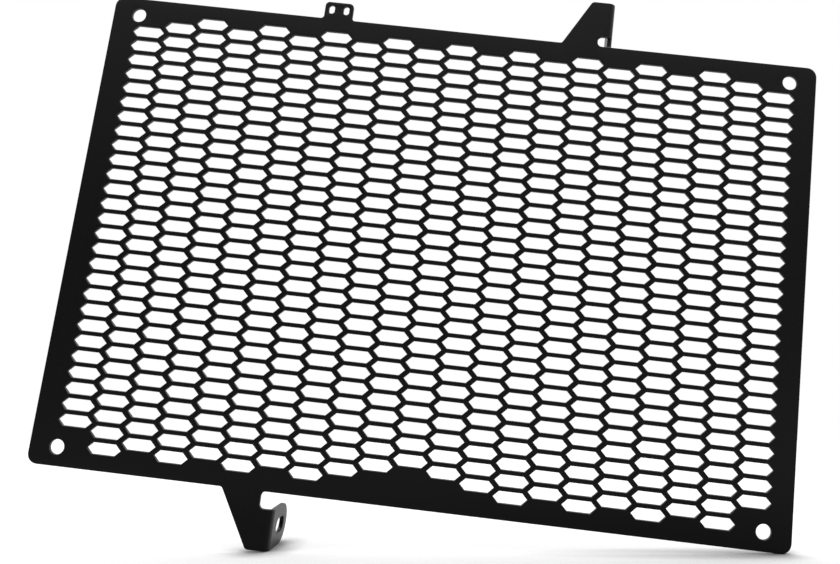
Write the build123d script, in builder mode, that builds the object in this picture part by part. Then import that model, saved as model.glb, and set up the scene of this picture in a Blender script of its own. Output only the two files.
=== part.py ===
from build123d import *
import os
from math import cos, floor, radians, sin, sqrt, tan

# Motorcycle radiator guard, in millimetres: one aluminium sheet, cut, pierced and folded.
# Seen from the front, +X is right and +Z is up, and the front face looks along -Y.
# The origin is the centre of the four corner holes, on the rear face.

# Sheet and folds
sheet_thickness = 2.0
bend_radius = 1.2  # inside of the folds
fold_angle = 90.0  # degrees that each lug is turned back from flat

# Panel
panel_width = 335.0
panel_height = 218.0
panel_corner_radius = 4.5

# Corner holes, a clear fit for M6 screws
corner_hole_diameter = 6.6
corner_hole_side_inset = 12.2  # from the panel's left and right edges
corner_hole_end_inset = 8.2  # from the panel's top and bottom edges

# Openings: long hexagons with 45 degree ends, in columns staggered by half a row.
# The field is drawn about 1.4 times as coarse as the real one, to keep its faces few:
# pitches of 15 and 7 with bars of 1.95 and 2.35 give the real one.
column_pitch = 21.0
row_pitch = 9.63
level_bar = 2.7  # metal between openings of one column
sloping_bar = 3.25  # metal between openings of neighbouring columns, square across
side_border = 9.5  # least plain border at the left and the right
end_border = 6.3  # least plain border at the top and the bottom

# Plain place in the middle of the lower border
plain_place_width = 45.0
plain_place_height = 12.5

# Folded tabs: a slanted edge, an edge folded back into a lug, and a notch that frees the fold
tab_slant = 30.0  # degrees from upright
tab_root_radius = 1.6
tab_corner_radius = 2.0
notch_radius = 2.0
notch_land = 1.6  # straight edge left between the notch's corner and the fold
lug_hole_width = 6.6  # of the round hole in the upper lug and of the slot in the lower one

# Upper folded tab, whose lug runs on below the notch's top
upper_fold_x = 67.8
upper_tab_height = 21.9
upper_tab_tip = 7.8  # level edge between the slanted edge and the fold
upper_notch_height = 4.8
upper_lug_gap = 0.8  # slit between the panel's edge and the lug
upper_hole_reach = 8.0  # from the fold's end to the middle of the lug's round end
upper_slot_stretch = 0.0

# Lower folded tab
lower_fold_x = -58.8
lower_tab_height = 24.7
lower_tab_tip = 7.0
lower_notch_height = 7.3
lower_hole_reach = 15.3
lower_slot_stretch = 6.2  # how much longer than wide the lug's slot is

# Flat tab with two upright slots for a cable tie
tie_tab_x = -60.1
tie_tab_width = 13.6
tie_tab_height = 8.4
tie_tab_corner_radius = 2.0
tie_tab_root_radius = 1.5
tie_slot_width = 2.8
tie_slot_height = 4.2
tie_slot_spacing = 7.0
tie_slot_inset = 3.7  # from the tab's outer edge to the middle of the slots

# The opening's form follows from the pitches and the metal left between openings
opening_half_height = (row_pitch - level_bar) / 2
opening_reach = (column_pitch + row_pitch / 2 - sqrt(2) * sloping_bar) / 2
opening_flat = opening_reach - opening_half_height
opening_outline = [
    (opening_reach, 0),
    (opening_flat, opening_half_height),
    (-opening_flat, opening_half_height),
    (-opening_reach, 0),
    (-opening_flat, -opening_half_height),
    (opening_flat, -opening_half_height),
]

# As many columns and rows as the borders leave room for
columns_each_side = floor((panel_width / 2 - side_border - opening_reach) / column_pitch)
rows = floor((panel_height - 2 * end_border + level_bar) / row_pitch - 0.5)
corner_hole_x = panel_width / 2 - corner_hole_side_inset
corner_hole_z = panel_height / 2 - corner_hole_end_inset


def meets_corner_hole(x, z):
    """Whether an opening at (x, z) would leave less than a bar of metal beside a corner hole."""
    clear = corner_hole_diameter / 2 + level_bar
    across = abs(corner_hole_x - abs(x))
    up = abs(corner_hole_z - abs(z))
    return up < opening_half_height + clear and across + up < opening_reach + sqrt(2) * clear


def meets_plain_place(x, z):
    """Whether an opening at (x, z) would reach into the plain place."""
    top = plain_place_height - panel_height / 2
    return abs(x) < plain_place_width / 2 and z - opening_half_height < top


opening_places = []
for column in range(-columns_each_side, columns_each_side + 1):
    x = column * column_pitch
    raised = (columns_each_side + column) % 2 == 0
    stagger = row_pitch / 4 if raised else -row_pitch / 4
    for row in range(rows):
        z = ((rows - 1) / 2 - row) * row_pitch + stagger
        if not (meets_corner_hole(x, z) or meets_plain_place(x, z)):
            opening_places.append((x, z))

# Each folded tab: its side of the panel, fold line, height, tip and notch
folded_tabs = [
    (1, upper_fold_x, upper_tab_height, upper_tab_tip, upper_notch_height),
    (-1, lower_fold_x, lower_tab_height, lower_tab_tip, lower_notch_height),
]
# Each lug: its gap to the panel's edge, reach to the middle of its round end, and its slot's stretch
lugs = [
    (min(upper_lug_gap, upper_notch_height), upper_hole_reach, upper_slot_stretch),
    (lower_notch_height, lower_hole_reach, lower_slot_stretch),
]
fold = radians(fold_angle)
backwards = (cos(fold), sin(fold), 0)
outwards = (sin(fold), -cos(fold), 0)

with BuildPart() as radiator_guard:
    for (side, fold_x, height, tip, notch), (gap, reach, stretch) in zip(folded_tabs, lugs):
        # The fold beside the flat of the tab
        with BuildSketch(Plane.YZ.offset(fold_x)):
            with Locations((-sheet_thickness / 2, side * (panel_height + height + notch) / 2)):
                Rectangle(sheet_thickness, height - notch)
        revolve(axis=Axis((fold_x, bend_radius, 0), (0, 0, 1)), revolution_arc=fold_angle)

        # The outer half of the fold runs on along the notch where the lug does
        if gap < notch:
            with BuildSketch(Plane((fold_x, bend_radius, 0), x_dir=outwards, z_dir=(-cos(fold), -sin(fold), 0))):
                with Locations((bend_radius + sheet_thickness / 2, side * (panel_height + notch + gap) / 2)):
                    Rectangle(sheet_thickness, notch - gap)
            revolve(axis=Axis((fold_x, bend_radius, 0), (0, 0, -1)), revolution_arc=fold_angle / 2)

        # The lug, back to a round end about its hole, or about the far end of its slot
        lug_half = (height - gap) / 2
        lug_middle = side * (panel_height + height + gap) / 2
        lug_root = (fold_x + bend_radius * sin(fold), bend_radius * (1 - cos(fold)), lug_middle)
        with BuildSketch(Plane(lug_root, x_dir=backwards, z_dir=outwards)):
            lower_corner = (reach, -lug_half)
            upper_corner = (reach, lug_half)
            with BuildLine():
                ThreePointArc(lower_corner, (reach + lug_half, 0), upper_corner)
                Polyline(upper_corner, (0, lug_half), (0, -lug_half), lower_corner)
            make_face()
            with Locations((reach, 0)):
                Circle(lug_hole_width / 2, mode=Mode.SUBTRACT)
            if stretch > 0:
                with Locations((reach - stretch / 2, 0)):
                    SlotCenterToCenter(stretch, lug_hole_width, mode=Mode.SUBTRACT)
        extrude(amount=sheet_thickness)

    # The flat of the sheet, drawn on the rear face
    with BuildSketch(Plane.XZ) as flat:
        Rectangle(panel_width, panel_height)
        fillet(flat.vertices(), panel_corner_radius)

        # Flat parts of the folded tabs
        for side, fold_x, height, tip, notch in folded_tabs:
            edge = side * panel_height / 2
            end = edge + side * height
            shoulder = (fold_x - tip, end)
            foot = (fold_x - tip - height * tan(radians(tab_slant)), edge)
            notch_corner = min(notch_radius, 0.45 * notch)
            notch_x = fold_x - notch_land - notch_corner
            notch_top = edge + side * notch
            notch_outer = (notch_x, notch_top)
            notch_inner = (notch_x, edge)
            with BuildLine():
                Polyline(foot, shoulder, (fold_x, end), (fold_x, notch_top), notch_outer, notch_inner, foot)
            make_face()
            fillet(flat.vertices().sort_by_distance(foot)[0], tab_root_radius)
            fillet(flat.vertices().sort_by_distance(shoulder)[0], tab_corner_radius)
            fillet(flat.vertices().sort_by_distance(notch_outer)[0], notch_corner)
            fillet(flat.vertices().sort_by_distance(notch_inner)[0], notch_corner)

        # Cable tie tab
        tie_top = panel_height / 2 + tie_tab_height
        with Locations((tie_tab_x, panel_height / 2)):
            Rectangle(tie_tab_width, 2 * tie_tab_height)
        for end in (-1, 1):
            tie_edge = tie_tab_x + end * tie_tab_width / 2
            fillet(flat.vertices().sort_by_distance((tie_edge, tie_top))[0], tie_tab_corner_radius)
            fillet(flat.vertices().sort_by_distance((tie_edge, panel_height / 2))[0], tie_tab_root_radius)
        with Locations((tie_tab_x, tie_top - tie_slot_inset)):
            with GridLocations(tie_slot_spacing, 0, 2, 1):
                SlotOverall(tie_slot_height, tie_slot_width, rotation=90, mode=Mode.SUBTRACT)

        # Corner holes and openings
        with GridLocations(2 * corner_hole_x, 2 * corner_hole_z, 2, 2):
            Circle(corner_hole_diameter / 2, mode=Mode.SUBTRACT)
        with Locations(*opening_places):
            Polygon(*opening_outline, mode=Mode.SUBTRACT)
    extrude(amount=sheet_thickness)

radiator_guard.part.label = "radiator_guard"
os.makedirs("parts", exist_ok=True)
export_step(radiator_guard.part, "parts/radiator_guard.step")
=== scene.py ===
"""Motorcycle radiator guard: one folded, pierced sheet in satin black powder coat.

The sheet is drawn flat as it leaves the cutter, with its lugs unfolded, and is then folded.
Sizes are in millimetres. Seen from the front, x is right and z is up, and the front face looks along -y.
"""
import logging
import math
from dataclasses import dataclass
from enum import Enum

import bpy
from mathutils import Matrix, Vector
from mathutils.geometry import delaunay_2d_cdt


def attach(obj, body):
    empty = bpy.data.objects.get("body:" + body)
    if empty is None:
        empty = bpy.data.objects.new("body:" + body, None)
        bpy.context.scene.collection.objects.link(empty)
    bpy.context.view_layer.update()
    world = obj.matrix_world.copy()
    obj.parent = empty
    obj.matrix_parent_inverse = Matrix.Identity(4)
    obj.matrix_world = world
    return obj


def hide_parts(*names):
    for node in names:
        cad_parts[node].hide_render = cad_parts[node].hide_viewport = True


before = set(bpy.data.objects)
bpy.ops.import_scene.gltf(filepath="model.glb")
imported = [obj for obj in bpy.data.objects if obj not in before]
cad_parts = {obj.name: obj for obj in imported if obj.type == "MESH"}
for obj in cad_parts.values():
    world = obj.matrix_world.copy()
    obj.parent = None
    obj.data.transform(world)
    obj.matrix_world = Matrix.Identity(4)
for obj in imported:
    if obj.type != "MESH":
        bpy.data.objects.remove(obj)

Point = tuple[float, float]
Place = tuple[float, float, float]
Corner = tuple[float, float, float]
Loop = list[Point]
Face = tuple[int, ...]
Color = tuple[float, float, float, float]
Span = tuple[float, float]
Socket = bpy.types.NodeSocket
Sockets = bpy.types.NodeOutputs

MM = 0.001
SAME_PLACE = 1e-6
FILL_TOLERANCE = 1e-7
MATCHED_DIGITS = 5
WELD_DISTANCE = 0.002
PHOTO_WIDTH = 840
PHOTO_HEIGHT = 564
RIGHT = Vector((1.0, 0.0, 0.0))
BACK = Vector((0.0, 1.0, 0.0))
WHITE: Color = (1.0, 1.0, 1.0, 1.0)
LOG = logging.getLogger("radiator_guard")


class Edge(Enum):
    """The edge of the panel that a tab grows from."""

    TOP = 1
    BOTTOM = -1


def rounded(corners: list[Corner], steps: int = 6) -> Loop:
    """Draws a closed outline whose corners are rounded.

    Args:
        corners: x, z and radius of each corner, in order.
        steps: Straight steps in a quarter turn.

    Returns:
        The outline's points.
    """
    loop: Loop = []
    for index, (x, z, radius) in enumerate(corners):
        here = Vector((x, z))
        if radius <= 0:
            loop.append((x, z))
            continue
        before = (Vector(corners[index - 1][:2]) - here).normalized()
        after = (Vector(corners[(index + 1) % len(corners)][:2]) - here).normalized()
        half = math.acos(max(-1.0, min(1.0, before.dot(after)))) / 2
        centre = here + (before + after).normalized() * (radius / math.sin(half))
        start = here + before * (radius / math.tan(half)) - centre
        sweep = math.pi - 2 * half
        sign = 1 if before.x * after.y - before.y * after.x < 0 else -1
        count = max(2, round(steps * sweep / (math.pi / 2)))
        for step in range(count + 1):
            turn = Matrix.Rotation(sign * sweep * step / count, 2)
            point = centre + turn @ start
            loop.append((point.x, point.y))
    return loop


def slot(x: float, z: float, width: float, height: float, steps: int = 12) -> Loop:
    """Draws a hole with round ends: level, upright, or a circle where it is as wide as high.

    Args:
        x: Place of its middle.
        z: Height of its middle.
        width: Its width.
        height: Its height.
        steps: Straight steps in a quarter turn.

    Returns:
        The points, clockwise, so that the metal is on the left.
    """
    radius = min(width, height) / 2
    loop: Loop = []
    for quarter, (side, end) in enumerate([(1, 1), (-1, 1), (-1, -1), (1, -1)]):
        centre = (x + side * (width / 2 - radius), z + end * (height / 2 - radius))
        for step in range(steps + 1):
            angle = math.pi / 2 * (quarter + step / steps)
            point = (centre[0] + radius * math.cos(angle), centre[1] + radius * math.sin(angle))
            if not any(math.dist(point, near) < SAME_PLACE for near in loop[-1:] + loop[:1]):
                loop.append(point)
    return loop[::-1]


def inset(loop: Loop, distance: float, least_mitre: float = 0.1) -> Loop:
    """Moves a loop into the metal on its left.

    Args:
        loop: The loop's points.
        distance: How far its edges move.
        least_mitre: Keeps a very sharp corner from moving too far.

    Returns:
        The moved points, one for each.
    """
    moved: Loop = []
    for index, point in enumerate(loop):
        here = Vector(point)
        before = (here - Vector(loop[index - 1])).normalized()
        after = (Vector(loop[(index + 1) % len(loop)]) - here).normalized()
        normal_before = Vector((-before.y, before.x))
        normal_after = Vector((-after.y, after.x))
        mitre = normal_before + normal_after
        offset = mitre * (2 * distance / max(mitre.length_squared, least_mitre))
        moved.append((point[0] + offset.x, point[1] + offset.y))
    return moved


def holds(loop: Loop, x: float, z: float) -> bool:
    """Finds whether a point lies inside a loop.

    Args:
        loop: The loop's points.
        x: The point's place across.
        z: Its height.

    Returns:
        True if it does.
    """
    inside = False
    for index, (x1, z1) in enumerate(loop):
        x0, z0 = loop[index - 1]
        if (z0 > z) != (z1 > z) and x < (x1 - x0) * (z - z0) / (z1 - z0) + x0:
            inside = not inside
    return inside


def strips(rings: list[list[int]]) -> list[Face]:
    """Joins each ring of points to the next by a closed strip of faces.

    Args:
        rings: The points' numbers in each ring. All rings are as long.

    Returns:
        The faces.
    """
    faces: list[Face] = []
    for front, rear in zip(rings, rings[1:]):
        for here in range(len(front)):
            after = (here + 1) % len(front)
            faces.append((front[after], front[here], rear[here], rear[after]))
    return faces


def link(made: bpy.types.Object) -> bpy.types.Object:
    """Puts an object in the scene and returns it."""
    bpy.context.scene.collection.objects.link(made)
    return made


def apply_modifier(made: bpy.types.Object, modifier: bpy.types.Modifier) -> None:
    """Makes an object's shape with its modifier a plain mesh, and removes the modifier.

    Args:
        made: The object.
        modifier: Its only modifier.
    """
    graph = bpy.context.evaluated_depsgraph_get()
    mesh = bpy.data.meshes.new_from_object(made.evaluated_get(graph), depsgraph=graph)
    mesh.name = made.name
    made.modifiers.remove(modifier)
    made.data = mesh


class NodeWiring:
    """Adds nodes to a tree and wires them up."""

    def __init__(self, tree: bpy.types.NodeTree) -> None:
        """Keeps the tree that the nodes go into."""
        self.tree = tree

    def link(self, source: Socket, target: Socket) -> None:
        """Wires one socket to another."""
        self.tree.links.new(source, target)

    def put(self, socket: Socket, value: object) -> None:
        """Gives a socket a value, or wires another socket to it.

        Args:
            socket: The input.
            value: A plain value, or the socket to wire to it.
        """
        if isinstance(value, Socket):
            self.link(value, socket)
        else:
            socket.default_value = value

    def add(self, kind: str, **values: object) -> bpy.types.Node:
        """Adds a node and sets its inputs.

        Args:
            kind: The node's type.
            values: Input values or sockets, by the input's name, with _ for each space.

        Returns:
            The node.
        """
        node = self.tree.nodes.new(kind)
        for name, value in values.items():
            self.put(node.inputs[name.replace("_", " ")], value)
        return node

    def math(self, operation: str, *values: object) -> Socket:
        """Adds a Math node.

        Args:
            operation: What it does.
            values: Its input values or sockets, in order.

        Returns:
            The result.
        """
        node = self.tree.nodes.new("ShaderNodeMath")
        node.operation = operation
        for socket, value in zip(node.inputs, values):
            self.put(socket, value)
        return node.outputs[0]

    def dot(self, vector: Socket, along: Vector) -> Socket:
        """Adds a node for how far a vector goes along a direction.

        Args:
            vector: The vector.
            along: The direction.

        Returns:
            The result.
        """
        node = self.tree.nodes.new("ShaderNodeVectorMath")
        node.operation = "DOT_PRODUCT"
        self.link(vector, node.inputs[0])
        node.inputs[1].default_value = along
        return node.outputs["Value"]

    def map_range(self, value: Socket, source: Span, target: Span) -> bpy.types.Node:
        """Adds a node that stretches a span of values to another, and stops at its ends.

        Args:
            value: The value.
            source: The span it comes from.
            target: The span it is taken to.

        Returns:
            The node.
        """
        ends = {"From_Min": source[0], "From_Max": source[1], "To_Min": target[0], "To_Max": target[1]}
        return self.add("ShaderNodeMapRange", Value=value, **ends)

    def mix_color(self, share: Socket, first: Color, second: Color) -> Socket:
        """Adds a node that blends two colours.

        Args:
            share: How much of the second colour there is.
            first: The colour where the share is 0.
            second: The colour where it is 1.

        Returns:
            The blended colour.
        """
        node = self.tree.nodes.new("ShaderNodeMix")
        node.data_type = "RGBA"
        sockets = {socket.identifier: socket for socket in node.inputs}
        self.link(share, sockets["Factor_Float"])
        sockets["A_Color"].default_value = first
        sockets["B_Color"].default_value = second
        return next(socket for socket in node.outputs if socket.identifier == "Result_Color")


def bare_material(name: str) -> tuple[bpy.types.Material, NodeWiring]:
    """Makes a material without nodes.

    Args:
        name: The material's name.

    Returns:
        The material, and the wiring that its nodes go into.
    """
    made = bpy.data.materials.new(name)
    made.use_nodes = True
    made.node_tree.nodes.clear()
    return made, NodeWiring(made.node_tree)


@dataclass(frozen=True)
class Sheet:
    """The sheet that the guard is cut from.

    Attributes:
        thickness: Its thickness.
        edge_radius: Rounding of the cut edges.
        bend_radius: Inside of the folds.
        fold_angle: Degrees that each lug is turned back from flat.
        fold_steps: Straight steps in a fold.
    """

    thickness: float = 2.0
    edge_radius: float = 0.3
    bend_radius: float = 1.2
    fold_angle: float = 90.0
    fold_steps: int = 10

    @property
    def fold(self) -> float:
        """The fold in radians."""
        return math.radians(self.fold_angle)

    @property
    def fold_length(self) -> float:
        """Length of flat sheet that a fold takes up, along the middle of its thickness."""
        return self.fold * (self.bend_radius + self.thickness / 2)

    def rim(self) -> list[Point]:
        """Draws the section of a cut edge, with both its corners eased.

        Returns:
            How far in from the cut and how far back each point is, from front to rear.
        """
        eased = self.edge_radius * (1 - math.sqrt(0.5))
        front = [(self.edge_radius, 0.0), (eased, eased), (0.0, self.edge_radius)]
        return front + [(i, self.thickness - d) for i, d in reversed(front)]


@dataclass(frozen=True)
class FoldedTab:
    """A tab with one slanted edge, whose other edge is folded back into a drilled or slotted lug.

    Attributes:
        edge: The panel's edge that it grows from.
        fold_x: Where its fold begins.
        height: How far it stands out from the panel.
        tip: Its level edge, between the slanted edge and the fold.
        notch_height: Height of the notch that frees the fold.
        lug_gap: Slit between the panel's edge and the lug.
        reach: From the fold's end to the middle of the lug's round end.
        slot_stretch: How much longer than wide the lug's hole is.
        slant: Degrees of the slanted edge from upright.
        root_radius: Rounding where the slanted edge leaves the panel.
        corner_radius: Rounding of the tip.
        notch_radius: Rounding of the notch's corners.
        notch_radius_share: The most of the notch's height that this rounding takes.
        notch_land: Straight edge left between the notch's corner and the fold.
        hole_width: Width of the lug's hole.
        nose_steps: Straight steps in the lug's round end.
    """

    edge: Edge
    fold_x: float
    height: float
    tip: float
    notch_height: float
    lug_gap: float
    reach: float
    slot_stretch: float
    slant: float = 30.0
    root_radius: float = 1.6
    corner_radius: float = 2.0
    notch_radius: float = 2.0
    notch_radius_share: float = 0.45
    notch_land: float = 1.6
    hole_width: float = 6.6
    nose_steps: int = 32

    def level(self, panel_height: float, rise: float) -> float:
        """Height of a line that lies some way out from the panel's edge."""
        return self.edge.value * (panel_height / 2 + rise)

    def lug_middle(self, panel_height: float) -> float:
        """Height of the lug's hole."""
        return self.level(panel_height, (self.height + self.lug_gap) / 2)

    def lug_end_x(self, sheet: Sheet) -> float:
        """Place on the flat sheet of the middle of the lug's round end."""
        return self.fold_x + sheet.fold_length + self.reach

    def hole(self, panel_height: float, sheet: Sheet) -> Loop:
        """Outline of the lug's hole on the flat sheet. A slot runs from the round end inwards."""
        x = self.lug_end_x(sheet) - self.slot_stretch / 2
        return slot(x, self.lug_middle(panel_height), self.hole_width + self.slot_stretch, self.hole_width)

    def fold_lines(self, panel_height: float, sheet: Sheet) -> list[tuple[Point, Point]]:
        """Draws the lines on the flat sheet where the fold's steps begin and end.

        Args:
            panel_height: Height of the panel.
            sheet: The sheet it is cut from.

        Returns:
            The near and the far end of each. The notch ends half way round the fold.
        """
        far = self.level(panel_height, self.height)
        lines = []
        for index in range(sheet.fold_steps + 1):
            x = self.fold_x + sheet.fold_length * index / sheet.fold_steps
            rise = self.notch_height if 2 * index <= sheet.fold_steps else self.lug_gap
            lines.append(((x, self.level(panel_height, rise)), (x, far)))
        return lines

    def nose(self, panel_height: float, sheet: Sheet) -> list[Corner]:
        """Draws the lug's round end, upwards.

        Args:
            panel_height: Height of the panel.
            sheet: The sheet it is cut from.

        Returns:
            The points of the half circle, none of them rounded further.
        """
        x, z = self.lug_end_x(sheet), self.lug_middle(panel_height)
        radius = (self.height - self.lug_gap) / 2
        angles = [math.pi * (step / self.nose_steps - 0.5) for step in range(self.nose_steps + 1)]
        return [(x + radius * math.cos(a), z + radius * math.sin(a), 0.0) for a in angles]

    def corners(self, panel_height: float, sheet: Sheet) -> list[Corner]:
        """Draws the unfolded tab and lug, from the panel's edge and back to it.

        Args:
            panel_height: Height of the panel.
            sheet: The sheet it is cut from.

        Returns:
            The corners, anticlockwise.
        """
        root, notch = self.level(panel_height, 0.0), self.level(panel_height, self.notch_height)
        end = self.level(panel_height, self.height)
        notch_corner = min(self.notch_radius, self.notch_radius_share * self.notch_height)
        notch_x = self.fold_x - self.notch_land - notch_corner
        foot_x = self.fold_x - self.tip - self.height * math.tan(math.radians(self.slant))
        tip = [(foot_x, root, self.root_radius), (self.fold_x - self.tip, end, self.corner_radius)]
        neck = [(notch_x, notch, notch_corner), (notch_x, root, notch_corner)]
        lines = self.fold_lines(panel_height, sheet)
        far = [(*outer, 0.0) for _, outer in lines]
        near = [(*inner, 0.0) for inner, _ in lines]
        if self.lug_gap < self.notch_height:
            half = sheet.fold_steps // 2
            near.insert(half + 1, (near[half][0], self.level(panel_height, self.lug_gap), 0.0))
        nose = self.nose(panel_height, sheet)
        if self.edge is Edge.BOTTOM:
            return tip + far + nose + near[::-1] + neck
        return neck[::-1] + near + nose + far[::-1] + tip[::-1]


@dataclass(frozen=True)
class TieTab:
    """Small flat tab on the top edge, with slots for a cable tie."""

    x: float = -60.1
    width: float = 13.6
    height: float = 8.4
    corner_radius: float = 2.0
    root_radius: float = 1.5
    slot_width: float = 2.8
    slot_height: float = 4.2
    slot_spacing: float = 7.0
    slot_inset: float = 3.7

    def corners(self, root: float) -> list[Corner]:
        """Draws the tab.

        Args:
            root: Height of the panel's edge.

        Returns:
            The corners, from right to left.
        """
        left, right, end = self.x - self.width / 2, self.x + self.width / 2, root + self.height
        ends = [(right, end, self.corner_radius), (left, end, self.corner_radius)]
        return [(right, root, self.root_radius), *ends, (left, root, self.root_radius)]

    def slots(self, root: float) -> list[Loop]:
        """Draws the slots.

        Args:
            root: Height of the panel's edge.

        Returns:
            The outline of each.
        """
        z = root + self.height - self.slot_inset
        places = [self.x - self.slot_spacing / 2, self.x + self.slot_spacing / 2]
        return [slot(x, z, self.slot_width, self.slot_height) for x in places]


@dataclass(frozen=True)
class OpeningField:
    """The staggered field of long hexagonal openings.

    Openings further out than corner_x and corner_z make way for the corner holes, and those within
    plain_x and below plain_z for the plain place.

    Attributes:
        column_pitch: From one column to the next.
        row_pitch: From one opening to the next in a column.
        level_bar: Metal between openings of one column.
        sloping_bar: Metal between openings of neighbouring columns, square across.
        columns: Number of columns.
        rows: Openings in a full column.
        corner_x: Distance across from the field's middle, beyond which a corner begins.
        corner_z: Distance upwards or downwards from it, beyond which a corner begins.
        plain_x: Half the width of the plain place.
        plain_z: Height, from the field's middle, below which the plain place begins.
        middle: Middle of the field.
    """

    column_pitch: float = 15.0
    row_pitch: float = 7.0
    level_bar: float = 1.95
    sloping_bar: float = 2.35
    columns: int = 21
    rows: int = 29
    corner_x: float = 142.5
    corner_z: float = 94.5
    plain_x: float = 22.5
    plain_z: float = -94.5
    middle: Point = (0.53, 0.25)

    @staticmethod
    def hexagon(reach: float, half_height: float) -> Loop:
        """Draws a long hexagon with 45 degree ends.

        Args:
            reach: Half of its length, from point to point.
            half_height: Half of its height.

        Returns:
            The corners, anticlockwise.
        """
        flat = reach - half_height
        right = [(flat, -half_height), (reach, 0.0), (flat, half_height)]
        return right + [(-x, z) for x, z in reversed(right)]

    @property
    def cell(self) -> Loop:
        """Outline of the metal that belongs to one opening: these fill the field with no gaps."""
        return self.hexagon(self.column_pitch / 2 + self.row_pitch / 4, self.row_pitch / 2)

    @property
    def opening(self) -> Loop:
        """Outline of one opening."""
        reach = (self.column_pitch + self.row_pitch / 2 - math.sqrt(2) * self.sloping_bar) / 2
        return self.hexagon(reach, (self.row_pitch - self.level_bar) / 2)

    def places(self) -> list[Point]:
        """Finds where the openings are.

        Returns:
            The middle of each.
        """
        found: list[Point] = []
        for column in range(self.columns):
            x = (column - (self.columns - 1) / 2) * self.column_pitch
            stagger = self.row_pitch / 4 * (1 - 2 * (column % 2))
            for row in range(self.rows):
                z = ((self.rows - 1) / 2 - row) * self.row_pitch + stagger
                beside_hole = abs(x) > self.corner_x and abs(z) > self.corner_z
                in_plain_place = abs(x) < self.plain_x and z < self.plain_z
                if not beside_hole and not in_plain_place:
                    found.append((x + self.middle[0], z + self.middle[1]))
        return found

    def boundary(self) -> Loop:
        """Draws the zigzag line round all the cells.

        Returns:
            The points, anticlockwise.
        """
        sides: list[tuple[Point, Point]] = []
        for x, z in self.places():
            cell = [(x + dx, z + dz) for dx, dz in self.cell]
            corners = [(round(a, MATCHED_DIGITS), round(b, MATCHED_DIGITS)) for a, b in cell]
            sides += zip(corners, corners[1:] + corners[:1])
        shared = set(sides)
        outer = {start: end for start, end in sides if (end, start) not in shared}
        first = next(iter(outer))
        loop, here = [first], outer[first]
        while here != first:
            loop.append(here)
            here = outer[here]
        return loop

    def cell_mesh(self, sheet: Sheet) -> bpy.types.Mesh:
        """Builds the metal round one opening: both faces, and the eased rim between them.

        Args:
            sheet: The sheet that is pierced.

        Returns:
            The mesh, about the opening's middle.
        """
        rings = [[(x, 0.0, z) for x, z in self.cell]]
        hole = self.opening[::-1]
        for distance, depth in sheet.rim():
            rings.append([(x, depth, z) for x, z in reversed(inset(hole, distance))])
        rings.append([(x, sheet.thickness, z) for x, z in self.cell])
        verts = [Vector((x, y - sheet.thickness, z)) * MM for ring in rings for x, y, z in ring]
        count = len(self.cell)
        numbers = [list(range(ring * count, (ring + 1) * count)) for ring in range(len(rings))]
        mesh = bpy.data.meshes.new("opening_cell")
        mesh.from_pydata(verts, [], strips(numbers[::-1]))
        return mesh

    @staticmethod
    def lattice(wire: NodeWiring, given: Sockets) -> tuple[Socket, Socket]:
        """Adds the nodes that find each opening's place from its number.

        Args:
            wire: The wiring of the node tree.
            given: The tree's inputs.

        Returns:
            The place across and the height.
        """
        index = wire.add("GeometryNodeInputIndex").outputs[0]
        column = wire.math("FLOOR", wire.math("DIVIDE", index, given["Rows"]))
        row = wire.math("SUBTRACT", index, wire.math("MULTIPLY", column, given["Rows"]))
        middle_column = wire.math("DIVIDE", wire.math("SUBTRACT", given["Columns"], 1.0), 2.0)
        middle_row = wire.math("DIVIDE", wire.math("SUBTRACT", given["Rows"], 1.0), 2.0)
        x = wire.math("MULTIPLY", wire.math("SUBTRACT", column, middle_column), given["Column Pitch"])
        lowered = wire.math("MULTIPLY", wire.math("MODULO", column, 2.0), 0.5)
        stagger = wire.math("SUBTRACT", 0.25, lowered)
        step = wire.math("ADD", wire.math("SUBTRACT", middle_row, row), stagger)
        return x, wire.math("MULTIPLY", step, given["Row Pitch"])

    @staticmethod
    def left_out(wire: NodeWiring, given: Sockets, x: Socket, z: Socket) -> Socket:
        """Adds the nodes that pick the openings which make way for something else.

        Args:
            wire: The wiring of the node tree.
            given: The tree's inputs.
            x: The opening's place across.
            z: Its height.

        Returns:
            1 for an opening that is left out, or else 0.
        """
        far_out = wire.math("GREATER_THAN", wire.math("ABSOLUTE", x), given["Corner X"])
        far_up = wire.math("GREATER_THAN", wire.math("ABSOLUTE", z), given["Corner Z"])
        near_middle = wire.math("LESS_THAN", wire.math("ABSOLUTE", x), given["Plain X"])
        low = wire.math("LESS_THAN", z, given["Plain Z"])
        beside_hole = wire.math("MULTIPLY", far_out, far_up)
        in_plain_place = wire.math("MULTIPLY", near_middle, low)
        return wire.math("MAXIMUM", beside_hole, in_plain_place)

    def node_tree(self, material: bpy.types.Material) -> bpy.types.NodeTree:
        """Builds the nodes that set out the openings and join them to the border.

        Args:
            material: The finish of the result.

        Returns:
            The node tree, with the field's sizes as named inputs.
        """
        tree = bpy.data.node_groups.new("opening_field", "GeometryNodeTree")
        sockets = [("Border", "NodeSocketGeometry"), ("Opening Cell", "NodeSocketObject")]
        sockets += [(name, "NodeSocketInt") for name in ("Columns", "Rows")]
        lengths = ("Column Pitch", "Row Pitch", "Corner X", "Corner Z", "Plain X", "Plain Z", "Weld")
        sockets += [(name, "NodeSocketFloat") for name in lengths] + [("Middle", "NodeSocketVector")]
        for name, kind in sockets:
            tree.interface.new_socket(name, in_out="INPUT", socket_type=kind)
        tree.interface.new_socket("Sheet", in_out="OUTPUT", socket_type="NodeSocketGeometry")
        wire = NodeWiring(tree)
        given = wire.add("NodeGroupInput").outputs

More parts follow.
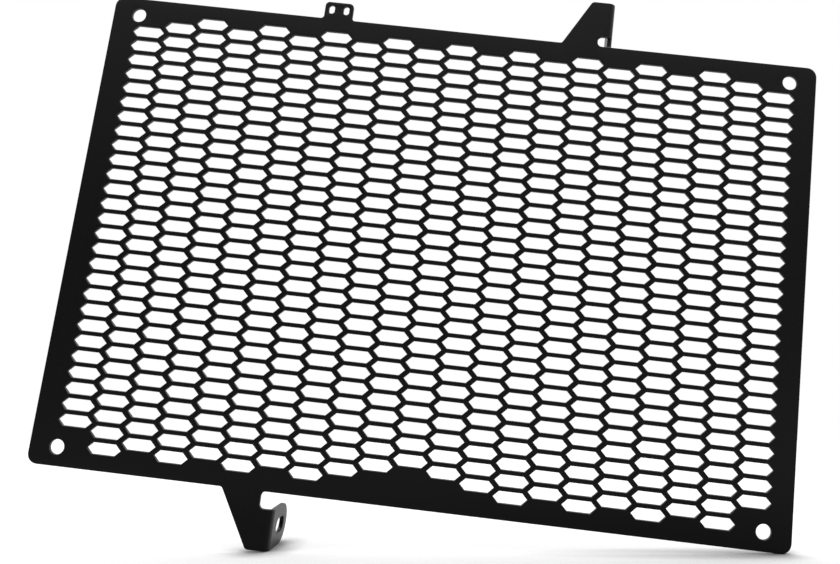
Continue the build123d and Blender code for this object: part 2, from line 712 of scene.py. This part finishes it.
        count = wire.math("MULTIPLY", given["Columns"], given["Rows"])
        points = wire.add("GeometryNodePoints", Count=count).outputs[0]
        x, z = self.lattice(wire, given)
        place = wire.add("ShaderNodeCombineXYZ", X=x, Z=z).outputs[0]
        placed = wire.add("GeometryNodeSetPosition", Geometry=points, Position=place).outputs[0]
        dropped = self.left_out(wire, given, x, z)
        kept = wire.add("GeometryNodeDeleteGeometry", Geometry=placed, Selection=dropped).outputs[0]
        moved = wire.add("GeometryNodeSetPosition", Geometry=kept, Offset=given["Middle"]).outputs[0]

        cell = wire.add("GeometryNodeObjectInfo", Object=given["Opening Cell"]).outputs["Geometry"]
        copies = wire.add("GeometryNodeInstanceOnPoints", Points=moved, Instance=cell).outputs[0]
        pierced = wire.add("GeometryNodeRealizeInstances", Geometry=copies).outputs[0]
        joined = wire.add("GeometryNodeJoinGeometry")
        wire.link(given["Border"], joined.inputs[0])
        wire.link(pierced, joined.inputs[0])
        welded = wire.add("GeometryNodeMergeByDistance", Geometry=joined.outputs[0], Distance=given["Weld"])
        coated = wire.add("GeometryNodeSetMaterial", Geometry=welded.outputs[0], Material=material)
        wire.add("NodeGroupOutput", Sheet=coated.outputs[0])
        return tree

    def inputs(self, cell: bpy.types.Object) -> dict[str, object]:
        """Gives the values of the node tree's inputs, in metres.

        Args:
            cell: The metal round one opening.

        Returns:
            The values, by the input's name.
        """
        return {
            "Opening Cell": cell,
            "Columns": self.columns,
            "Rows": self.rows,
            "Column Pitch": self.column_pitch * MM,
            "Row Pitch": self.row_pitch * MM,
            "Corner X": self.corner_x * MM,
            "Corner Z": self.corner_z * MM,
            "Plain X": self.plain_x * MM,
            "Plain Z": self.plain_z * MM,
            "Middle": (self.middle[0] * MM, 0.0, self.middle[1] * MM),
            "Weld": WELD_DISTANCE * MM,
        }


@dataclass(frozen=True)
class PowderCoat:
    """Satin black powder coat: near black, with a fine orange peel and a faint grain.

    Attributes:
        dark: Colour of its darker patches.
        light: Colour of its lighter patches.
        rough: Least and greatest roughness.
        specular: Strength of its shine.
        patch_size: Size of the patches.
        peel_size: Size of the orange peel's lumps.
        peel_height: Their height.
        grain_size: Size of the grain.
        grain_height: Its height.
        grain_range: Span of the grain's noise that the roughness follows.
    """

    dark: Color = (0.007, 0.007, 0.0073, 1.0)
    light: Color = (0.011, 0.011, 0.011, 1.0)
    rough: Span = (0.3, 0.38)
    specular: float = 0.5
    patch_size: float = 45.0
    peel_size: float = 1.1
    peel_height: float = 0.012
    grain_size: float = 0.16
    grain_height: float = 0.004
    grain_range: Span = (0.3, 0.7)

    def material(self) -> bpy.types.Material:
        """Builds the coat's material.

        Returns:
            The material.
        """
        made, wire = bare_material("powder_coat")
        place = wire.add("ShaderNodeTexCoord").outputs["Object"]

        def noise(size: float, detail: float) -> Socket:
            """Noise whose lumps are about the given size."""
            made_noise = wire.add("ShaderNodeTexNoise", Vector=place, Scale=1 / (size * MM), Detail=detail)
            return made_noise.outputs[0]

        def bump(height: Socket, depth: float) -> bpy.types.Node:
            """Bump of the given depth."""
            return wire.add("ShaderNodeBump", Height=height, Strength=1.0, Distance=depth * MM)

        patch = noise(self.patch_size, detail=2.0)
        peel = noise(self.peel_size, detail=1.0)
        grain = noise(self.grain_size, detail=0.0)
        fine = bump(grain, self.grain_height)
        wire.link(bump(peel, self.peel_height).outputs[0], fine.inputs["Normal"])
        coat = wire.add(
            "ShaderNodeBsdfPrincipled",
            Base_Color=wire.mix_color(patch, self.dark, self.light),
            Roughness=wire.map_range(grain, self.grain_range, self.rough).outputs[0],
            Specular_IOR_Level=self.specular,
            Normal=fine.outputs[0],
        )
        wire.add("ShaderNodeOutputMaterial", Surface=coat.outputs[0])
        return made


@dataclass
class RadiatorGuard:
    """The whole guard, cut from one sheet and folded."""

    width: float = 335.0
    height: float = 218.0
    corner_radius: float = 4.5
    corner_hole_diameter: float = 6.6
    corner_hole_side_inset: float = 12.2
    corner_hole_end_inset: float = 8.2
    sharp_angle: float = 50.0
    sheet: Sheet = Sheet()
    tie_tab: TieTab = TieTab()
    upper_tab: FoldedTab = FoldedTab(
        edge=Edge.TOP,
        fold_x=67.8,
        height=21.9,
        tip=7.8,
        notch_height=4.8,
        lug_gap=0.8,
        reach=8.0,
        slot_stretch=0.0,
    )
    lower_tab: FoldedTab = FoldedTab(
        edge=Edge.BOTTOM,
        fold_x=-58.8,
        height=24.7,
        tip=7.0,
        notch_height=7.3,
        lug_gap=7.3,
        reach=15.3,
        slot_stretch=6.2,
    )
    field: OpeningField = OpeningField()
    finish: PowderCoat = PowderCoat()

    @property
    def folded_tabs(self) -> tuple[FoldedTab, FoldedTab]:
        """The two tabs with lugs."""
        return self.lower_tab, self.upper_tab

    def outline(self) -> Loop:
        """Draws the flat sheet.

        Returns:
            Its outline, anticlockwise from the lower left corner.
        """
        right, top, radius = self.width / 2, self.height / 2, self.corner_radius
        corners = [(-right, -top, radius)]
        corners += self.lower_tab.corners(self.height, self.sheet)
        corners += [(right, -top, radius), (right, top, radius)]
        corners += self.upper_tab.corners(self.height, self.sheet)
        corners += self.tie_tab.corners(top)
        corners += [(-right, top, radius)]
        return rounded(corners)

    def holes(self) -> list[Loop]:
        """Draws the round holes and the slots on the flat sheet.

        Returns:
            The outline of each.
        """
        x = self.width / 2 - self.corner_hole_side_inset
        z = self.height / 2 - self.corner_hole_end_inset
        size = self.corner_hole_diameter
        found = [slot(a * x, b * z, size, size) for a in (-1, 1) for b in (-1, 1)]
        found += [tab.hole(self.height, self.sheet) for tab in self.folded_tabs]
        return found + self.tie_tab.slots(self.height / 2)

    def folded(self, x: float, y: float, z: float) -> Vector:
        """Takes a point of the flat sheet to its place on the folded one.

        Args:
            x: Place across the flat sheet.
            y: Place through it, from 0 at the rear to minus its thickness at the front.
            z: Height.

        Returns:
            The point's place, in metres.
        """
        for tab in self.folded_tabs:
            if x <= tab.fold_x or z * tab.edge.value < (self.height + tab.lug_gap) / 2:
                continue
            along = x - tab.fold_x
            turn = self.sheet.fold * min(1.0, along / self.sheet.fold_length)
            past = max(0.0, along - self.sheet.fold_length)
            radius = self.sheet.bend_radius - y
            x = tab.fold_x + radius * math.sin(turn) + past * math.cos(turn)
            y = self.sheet.bend_radius - radius * math.cos(turn) + past * math.sin(turn)
            break
        return Vector((x, y, z)) * MM

    def fold_edges(self, outline: Loop) -> list[tuple[int, int]]:
        """Finds the lines across the tabs where their folds step round.

        Args:
            outline: The sheet's outline.

        Returns:
            Pairs of outline points to join.
        """
        def nearest(place: Point) -> int:
            """Number of the outline's point at a place."""
            return min(range(len(outline)), key=lambda index: math.dist(outline[index], place))

        lines = [line for tab in self.folded_tabs for line in tab.fold_lines(self.height, self.sheet)]
        return [(nearest(near), nearest(far)) for near, far in lines]

    def flat_face(self, lines: list[Loop], folds: list[tuple[int, int]]) -> tuple[Loop, list[Face]]:
        """Fills the sheet's face between its outline, its holes and the field.

        Args:
            lines: The outline, then the holes and the field's boundary.
            folds: Pairs of outline points to join.

        Returns:
            The points of all the lines, and the triangles between them.
        """
        points = [point for line in lines for point in line]
        edges: list[tuple[int, int]] = []
        for line in lines:
            start = len(edges)
            edges += [(start + i, start + (i + 1) % len(line)) for i in range(len(line))]
        made = delaunay_2d_cdt([Vector(p) for p in points], edges + folds, [], 0, FILL_TOLERANCE)
        flat, triangles, sources = made[0], made[2], made[3]
        faces: list[Face] = []
        for triangle in triangles:
            x = sum(flat[i].x for i in triangle) / 3
            z = sum(flat[i].y for i in triangle) / 3
            if holds(lines[0], x, z) and not any(holds(cut, x, z) for cut in lines[1:]):
                faces.append(tuple(sources[i][0] for i in triangle))
        return points, faces

    def border_mesh(self) -> bpy.types.Mesh:
        """Builds the sheet round the field of openings, with its tabs folded.

        Returns:
            The mesh, open only where the field joins it.
        """
        thickness, rim = self.sheet.thickness, self.sheet.rim()
        loops = [self.outline(), *self.holes()]
        lines = [inset(loop, rim[0][0]) for loop in loops] + [self.field.boundary()]
        points, faces = self.flat_face(lines, self.fold_edges(loops[0]))
        count = len(points)
        verts = [self.folded(x, -thickness, z) for x, z in points]
        verts += [self.folded(x, 0.0, z) for x, z in points]
        faces += [tuple(i + count for i in reversed(face)) for face in faces]

        start = 0
        for loop in loops:
            rings = [list(range(start, start + len(loop)))]
            start += len(loop)
            for distance, depth in rim[1:-1]:
                rings.append(list(range(len(verts), len(verts) + len(loop))))
                verts += [self.folded(x, depth - thickness, z) for x, z in inset(loop, distance)]
            rings.append([count + index for index in rings[0]])
            faces += strips(rings)
        mesh = bpy.data.meshes.new("border")
        mesh.from_pydata(verts, [], faces)
        return mesh

    def pierce(self, shell: bpy.types.Object) -> None:
        """Joins the field of openings to the border, and coats both.

        Args:
            shell: The border, which becomes the whole sheet.
        """
        cell = link(bpy.data.objects.new("opening_cell", self.field.cell_mesh(self.sheet)))
        tree = self.field.node_tree(self.finish.material())
        openings = shell.modifiers.new("openings", "NODES")
        openings.node_group = tree
        values = self.field.inputs(cell)
        for item in tree.interface.items_tree:
            if item.in_out == "INPUT" and item.name in values:
                openings[item.identifier] = values[item.name]
        apply_modifier(shell, openings)
        bpy.data.objects.remove(cell)

    def smooth(self, shell: bpy.types.Object) -> None:
        """Shades the folds and eased edges as round and the faces as flat.

        Args:
            shell: The whole sheet.
        """
        for face in shell.data.polygons:
            face.use_smooth = True
        shell.data.set_sharp_from_angle(angle=math.radians(self.sharp_angle))
        even = shell.modifiers.new("even_shading", "WEIGHTED_NORMAL")
        even.keep_sharp = True
        apply_modifier(shell, even)

    def build(self) -> bpy.types.Object:
        """Builds and dresses the guard.

        Returns:
            The finished piece.
        """
        shell = link(bpy.data.objects.new("pierced_sheet", self.border_mesh()))
        self.pierce(shell)
        self.smooth(shell)
        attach(shell, "root")
        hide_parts("radiator_guard")
        return shell


@dataclass(frozen=True)
class PhotoCamera:
    """The camera that took the photograph. Its optical axis is off the middle of the frame.

    Attributes:
        place: Where it is.
        right: Its own direction to the right.
        forward: The direction it looks in.
        focal: Focal length, in pixels of the photograph.
        axis: Where the optical axis meets the photograph, in pixels from its upper left corner.
        sensor: Width of the sensor.
        nearest: Distance from which it sees things.
    """

    place: Place = (36.368, -399.796, -38.196)
    right: Place = (0.99352835, 0.01340573, 0.11279051)
    forward: Place = (-0.03238052, 0.98523328, 0.16812756)
    focal: float = 879.565
    axis: Point = (492.53, 200.94)
    sensor: float = 36.0
    nearest: float = 10.0

    @property
    def up(self) -> Vector:
        """The camera's own upward direction."""
        return Vector(self.right).cross(Vector(self.forward)).normalized()

    def build(self) -> bpy.types.Object:
        """Builds the camera and makes it the scene's.

        Returns:
            The camera.
        """
        data = bpy.data.cameras.new("photo_camera")
        data.sensor_fit = "HORIZONTAL"
        data.sensor_width = self.sensor
        data.lens = self.sensor * self.focal / PHOTO_WIDTH
        data.shift_x = (PHOTO_WIDTH / 2 - self.axis[0]) / PHOTO_WIDTH
        data.shift_y = (self.axis[1] - PHOTO_HEIGHT / 2) / PHOTO_WIDTH
        data.clip_start = self.nearest * MM
        made = link(bpy.data.objects.new("photo_camera", data))
        turn = Matrix((Vector(self.right), self.up, -Vector(self.forward))).transposed()
        made.matrix_world = Matrix.Translation(Vector(self.place) * MM) @ turn.to_4x4()
        bpy.context.scene.camera = made
        return made


@dataclass(frozen=True)
class Floor:
    """White floor that the guard stands on with its lower lug and its lower right corner.

    It is white to the camera and, behind the guard, in the coat's reflections. Close to the guard a painted
    shade darkens its colour and glow, and it also keeps the real shadow that the lights cast.

    Attributes:
        under_lug: A point of the floor, below the lower lug.
        tilt: Degrees that the guard leans sideways from upright.
        half_width: Half of its width.
        front: How far it reaches before the guard.
        back: How far it reaches behind it.
        white: Its colour where it is seen.
        shade: Its colour in the painted shade close to the guard, and for the light it throws back.
        glow: Light of its own where it is seen, dimmed by the painted shade close to the guard.
        mirrored: Share of its white that the coat mirrors.
        painted_shade_reach: How close to the guard the painted shade reaches.
        painted_shade_depth: How much the painted shade darkens it there.
        painted_shade_samples: Number of directions tried for the guard, to find the painted shade.
    """

    under_lug: Place = (-55.6, 0.0, -133.72)
    tilt: float = 6.44
    half_width: float = 800.0
    front: float = 75.0
    back: float = 500.0
    white: Color = (0.9, 0.9, 0.9, 1.0)
    shade: Color = (0.2, 0.2, 0.2, 1.0)
    glow: float = 0.28
    mirrored: float = 0.5
    # Reach, strength and samples of the painted shade that darkens the floor close to the guard.
    painted_shade_reach: float = 13.0
    painted_shade_depth: float = 2.5
    painted_shade_samples: int = 8

    @property
    def up(self) -> Vector:
        """The floor's upward direction."""
        tilt = math.radians(self.tilt)
        return Vector((-math.sin(tilt), 0.0, math.cos(tilt)))

    def material(self) -> bpy.types.Material:
        """Builds the floor's paint, with its painted shade close to the guard.

        Returns:
            The material.
        """
        made, wire = bare_material("white_floor")
        path = wire.add("ShaderNodeLightPath").outputs
        place = wire.add("ShaderNodeTexCoord").outputs["Object"]
        behind = wire.math("GREATER_THAN", wire.dot(place, BACK), 0.0)
        mirrored = wire.math("MULTIPLY", behind, self.mirrored)
        mirrored = wire.math("MULTIPLY", path["Is Glossy Ray"], mirrored)
        seen = wire.math("MAXIMUM", path["Is Camera Ray"], path["Is Transmission Ray"])
        seen = wire.math("MAXIMUM", seen, mirrored)
        # Painted shade: an ambient occlusion node darkens the floor's colour and glow where the guard is
        # near, on top of the lights' real shadow.
        contact = wire.add("ShaderNodeAmbientOcclusion", Distance=self.painted_shade_reach * MM)
        contact.samples = self.painted_shade_samples
        clear = wire.math("POWER", contact.outputs["AO"], self.painted_shade_depth)
        bright = wire.math("MULTIPLY", seen, clear)
        matt = wire.add("ShaderNodeBsdfDiffuse", Color=wire.mix_color(bright, self.shade, self.white))
        glow = wire.add("ShaderNodeEmission", Strength=wire.math("MULTIPLY", bright, self.glow))
        both = wire.add("ShaderNodeAddShader")
        wire.link(matt.outputs[0], both.inputs[0])
        wire.link(glow.outputs[0], both.inputs[1])
        wire.add("ShaderNodeOutputMaterial", Surface=both.outputs[0])
        return made

    def build(self) -> bpy.types.Object:
        """Builds the floor, which ends a little way in front of the guard.

        Returns:
            The floor.
        """
        across = BACK.cross(self.up)
        sides = [(-1, -self.front), (1, -self.front), (1, self.back), (-1, self.back)]
        verts = [Vector(self.under_lug) + across * a * self.half_width + BACK * b for a, b in sides]
        mesh = bpy.data.meshes.new("floor")
        mesh.from_pydata([vert * MM for vert in verts], [], [(0, 1, 2, 3)])
        mesh.materials.append(self.material())
        made = link(bpy.data.objects.new("floor", mesh))
        return made


@dataclass(frozen=True)
class Surroundings:
    """Light from all round the guard, white where the camera sees it.

    What the coat mirrors is bright above, below and behind, and dark in front. What lights it comes
    from above and, close to the floor, from behind.

    Attributes:
        mirrored_above: Brightness that the coat mirrors straight above.
        mirrored_below: The same, straight below.
        mirrored_right: The same, to the right.
        mirrored_behind: The least of it behind the guard.
        light_above: Light on the guard from straight above.
        light_behind: Light on it from behind, at the floor's level.
        fall_above: Power by which the light from above falls off to the sides.
        fall_behind: Power by which the light from behind falls off upwards.
        behind_blend: How far back a direction points where what is behind begins and is full.
    """

    mirrored_above: float = 2.1
    mirrored_below: float = 1.4
    mirrored_right: float = 0.12
    mirrored_behind: float = 0.6
    light_above: float = 0.9
    light_behind: float = 7.0
    fall_above: float = 2.0
    fall_behind: float = 8.0
    behind_blend: Span = (-0.15, 0.35)

    def strength(self, wire: NodeWiring, glossy: Socket, up: Vector) -> Socket:
        """Adds the nodes for how strong the light from each side is.

        Args:
            wire: The wiring of the world.
            glossy: 1 for what the coat mirrors, 0 for what lights it.
            up: The floor's upward direction.

        Returns:
            The strength.
        """
        way = wire.add("ShaderNodeTexCoord").outputs["Object"]
        height = wire.dot(way, up)
        above = wire.math("POWER", wire.math("MAXIMUM", height, 0.0), self.fall_above)
        below = wire.math("MAXIMUM", wire.math("MULTIPLY", height, -1.0), 0.0)
        right = wire.math("MAXIMUM", wire.dot(way, RIGHT), 0.0)
        blend = wire.map_range(wire.dot(way, BACK), self.behind_blend, (0.0, 1.0))
        blend.interpolation_type = "SMOOTHSTEP"
        behind = blend.outputs[0]

        front = wire.math("MULTIPLY", above, self.mirrored_above)
        front = wire.math("MULTIPLY_ADD", below, self.mirrored_below, front)
        front = wire.math("MULTIPLY_ADD", right, self.mirrored_right, front)
        rise = wire.math("SUBTRACT", wire.math("MAXIMUM", front, self.mirrored_behind), front)
        mirrored = wire.math("MULTIPLY_ADD", behind, rise, front)

        level = wire.math("SUBTRACT", 1.0, wire.math("MULTIPLY", height, height))
        low = wire.math("POWER", level, self.fall_behind)
        low = wire.math("MULTIPLY", low, wire.math("GREATER_THAN", height, 0.0))
        lit = wire.math("MULTIPLY", wire.math("MULTIPLY", low, self.light_behind), behind)
        lit = wire.math("MULTIPLY_ADD", above, self.light_above, lit)
        return wire.math("MULTIPLY_ADD", wire.math("SUBTRACT", mirrored, lit), glossy, lit)

    def build(self, up: Vector) -> bpy.types.World:
        """Builds the world and makes it the scene's.

        Args:
            up: The floor's upward direction.

        Returns:
            The world.
        """
        world = bpy.data.worlds.new("studio")
        world.use_nodes = True
        world.node_tree.nodes.clear()
        wire = NodeWiring(world.node_tree)
        path = wire.add("ShaderNodeLightPath").outputs
        strength = self.strength(wire, path["Is Glossy Ray"], up)
        light = wire.add("ShaderNodeBackground", Color=WHITE, Strength=strength)
        white = wire.add("ShaderNodeBackground", Color=WHITE, Strength=1.0)
        seen = wire.math("MAXIMUM", path["Is Camera Ray"], path["Is Transmission Ray"])
        both = wire.add("ShaderNodeMixShader", Fac=seen)
        wire.link(light.outputs[0], both.inputs[1])
        wire.link(white.outputs[0], both.inputs[2])
        wire.add("ShaderNodeOutputWorld", Surface=both.outputs[0])
        bpy.context.scene.world = world
        return world


@dataclass(frozen=True)
class OverheadLamp:
    """The square lamp that hangs over the guard."""

    height: float = 1200.0
    size: float = 500.0
    watts: float = 4.0

    def build(self, up: Vector) -> bpy.types.Object:
        """Builds the lamp.

        Args:
            up: The floor's upward direction.

        Returns:
            The lamp.
        """
        data = bpy.data.lights.new("overhead", "AREA")
        data.size, data.energy = self.size * MM, self.watts
        made = link(bpy.data.objects.new("overhead", data))
        made.matrix_world = Matrix.Translation(up * self.height * MM)
        return made


def main() -> None:
    """Builds the guard and its studio."""
    logging.basicConfig(level=logging.INFO, format="%(name)s: %(message)s")
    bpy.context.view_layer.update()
    guard = RadiatorGuard()
    piece = guard.build()
    LOG.info("%s: %d openings, %d faces", piece.name, len(guard.field.places()), len(piece.data.polygons))
    PhotoCamera().build()
    floor = Floor()
    floor.build()
    Surroundings().build(floor.up)
    OverheadLamp().build(floor.up)
    bpy.context.scene.view_settings.view_transform = "Standard"


if __name__ == "__main__":
    main()
